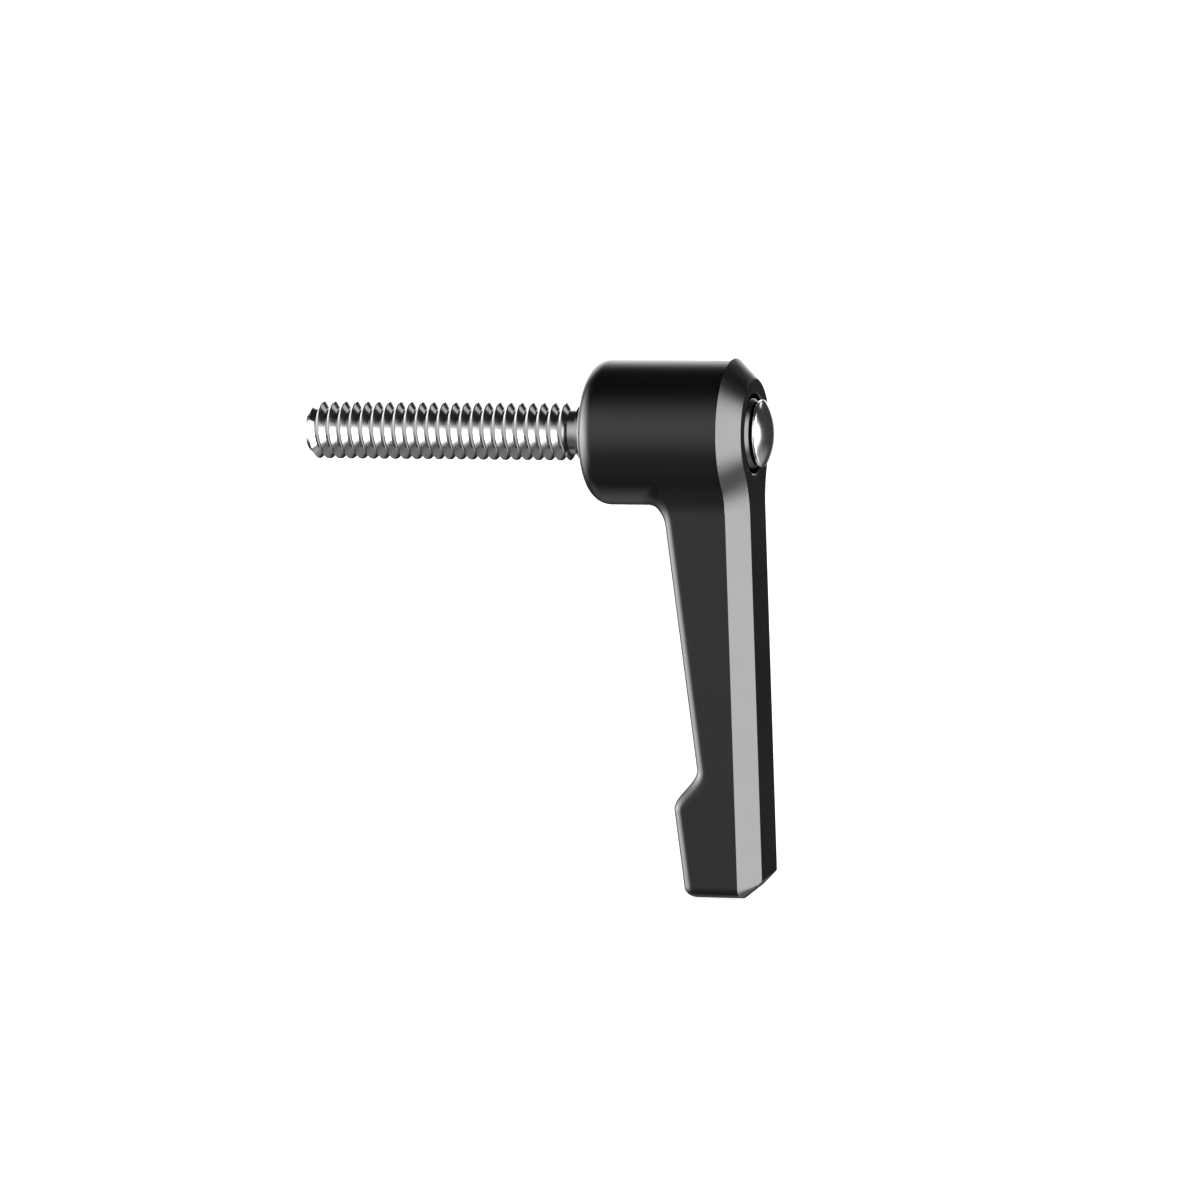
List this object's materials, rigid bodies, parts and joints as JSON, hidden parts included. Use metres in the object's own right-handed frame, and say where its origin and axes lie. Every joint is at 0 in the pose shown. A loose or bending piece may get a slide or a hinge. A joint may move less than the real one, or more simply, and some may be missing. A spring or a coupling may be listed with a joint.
{
  "type": "adjustable clamping handle",
  "caption": "Adjustable clamping handle: black lever with a finger bump on a threaded stud, lifted against a spring to turn freely and re-index on inner teeth.",
  "frame": {"origin": "on the stud axis at the inner end of the full thread, where the relief neck begins", "axes": "-X along the stud towards its point, +X towards the push button, -Z along the lever's arm, Y across the lever"},
  "size_m": [0.0521, 0.0162, 0.0592],
  "materials": {
    "anodised_black": "satin black anodised",
    "stud_steel": "bright machined",
    "insert_steel": "plain machined",
    "button_steel": "turned and polished",
    "spring_steel": "drawn wire"
  },
  "bodies": {
    "stud_assembly": {"threaded_stud": "stud_steel", "toothed_insert": "insert_steel", "push_button": "button_steel"},
    "spring": {"spring": "spring_steel"},
    "lever": {"lever": "anodised_black"}
  },
  "joints": [
    {"name": "lever_lift", "type": "slide", "parent": "stud_assembly", "child": "spring", "axis": [1, 0, 0], "range_m": [0, 0.0036], "stiffness_N_per_m": 870, "springref_m": -0.0025, "deforming": ["spring"]},
    {"name": "lever_index", "type": "hinge", "parent": "spring", "child": "lever", "pos_m": [0, 0, 0], "axis": [1, 0, 0], "continuous": true}
  ]
}
